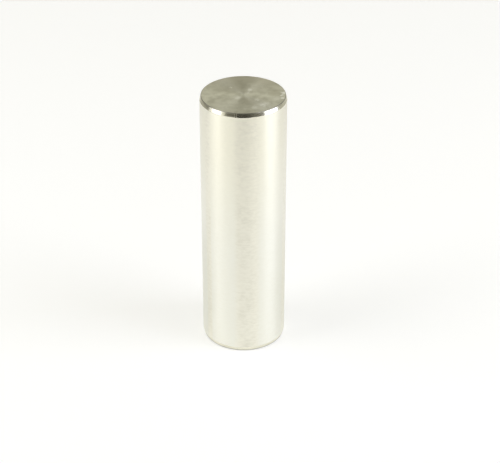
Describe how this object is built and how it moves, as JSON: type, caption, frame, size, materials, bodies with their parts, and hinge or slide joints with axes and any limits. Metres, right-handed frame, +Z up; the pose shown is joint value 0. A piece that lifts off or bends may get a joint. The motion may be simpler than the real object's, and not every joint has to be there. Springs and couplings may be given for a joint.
{
  "type": "crankpin",
  "caption": "Solid ground steel pin with chamfered ends, pressed between two crankshaft webs to carry a connecting rod's big-end bearing.",
  "frame": {"origin": "centre of the lower end face, on which the pin stands", "axes": "+Z up along the pin's axis; X and Y are any two directions square to it, because the pin is round"},
  "size_m": [0.02, 0.02, 0.0643],
  "materials": {
    "ground_steel": "ground bright on the cylinder, faced on the ends"
  },
  "bodies": {
    "root": {"crankpin": "ground_steel"}
  },
  "joints": []
}
